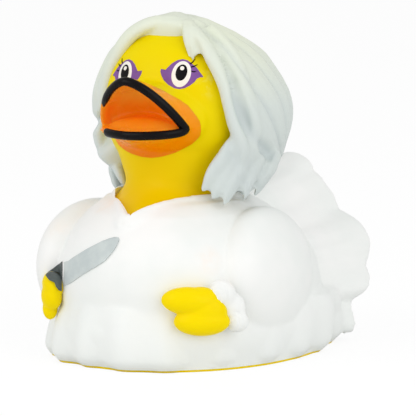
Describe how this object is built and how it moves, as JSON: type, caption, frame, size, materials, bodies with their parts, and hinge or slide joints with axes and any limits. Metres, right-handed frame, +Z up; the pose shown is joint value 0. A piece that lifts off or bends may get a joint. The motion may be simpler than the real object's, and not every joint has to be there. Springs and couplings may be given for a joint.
{
  "type": "rubber duck",
  "caption": "Moulded bath duck in a long white gown with a fanned train, grey shoulder-length hair, an open orange bill and a small knife in relief.",
  "frame": {"origin": "middle of the flat foot, at the middle of the part's box seen from above", "axes": "+Z up; -Y the way the duck faces, so +Y is towards its tail; +X the duck's own left"},
  "size_m": [0.0665, 0.089, 0.0857],
  "materials": {
    "yellow_vinyl": "satin yellow vinyl, unpainted skin of face, neck, hands and foot",
    "gown_white": "satin white paint on vinyl",
    "hair_grey": "matt light grey paint on vinyl",
    "bill_orange": "gloss orange paint on vinyl",
    "line_black": "gloss black paint line, lashes and pupils",
    "eye_purple": "satin purple print round the eyes",
    "eye_white": "white print of the eyes",
    "blade_grey": "satin grey paint on the blade",
    "handle_grey": "satin dark grey paint on the knife's handle"
  },
  "bodies": {
    "root": {"duck": "yellow_vinyl"}
  },
  "joints": []
}
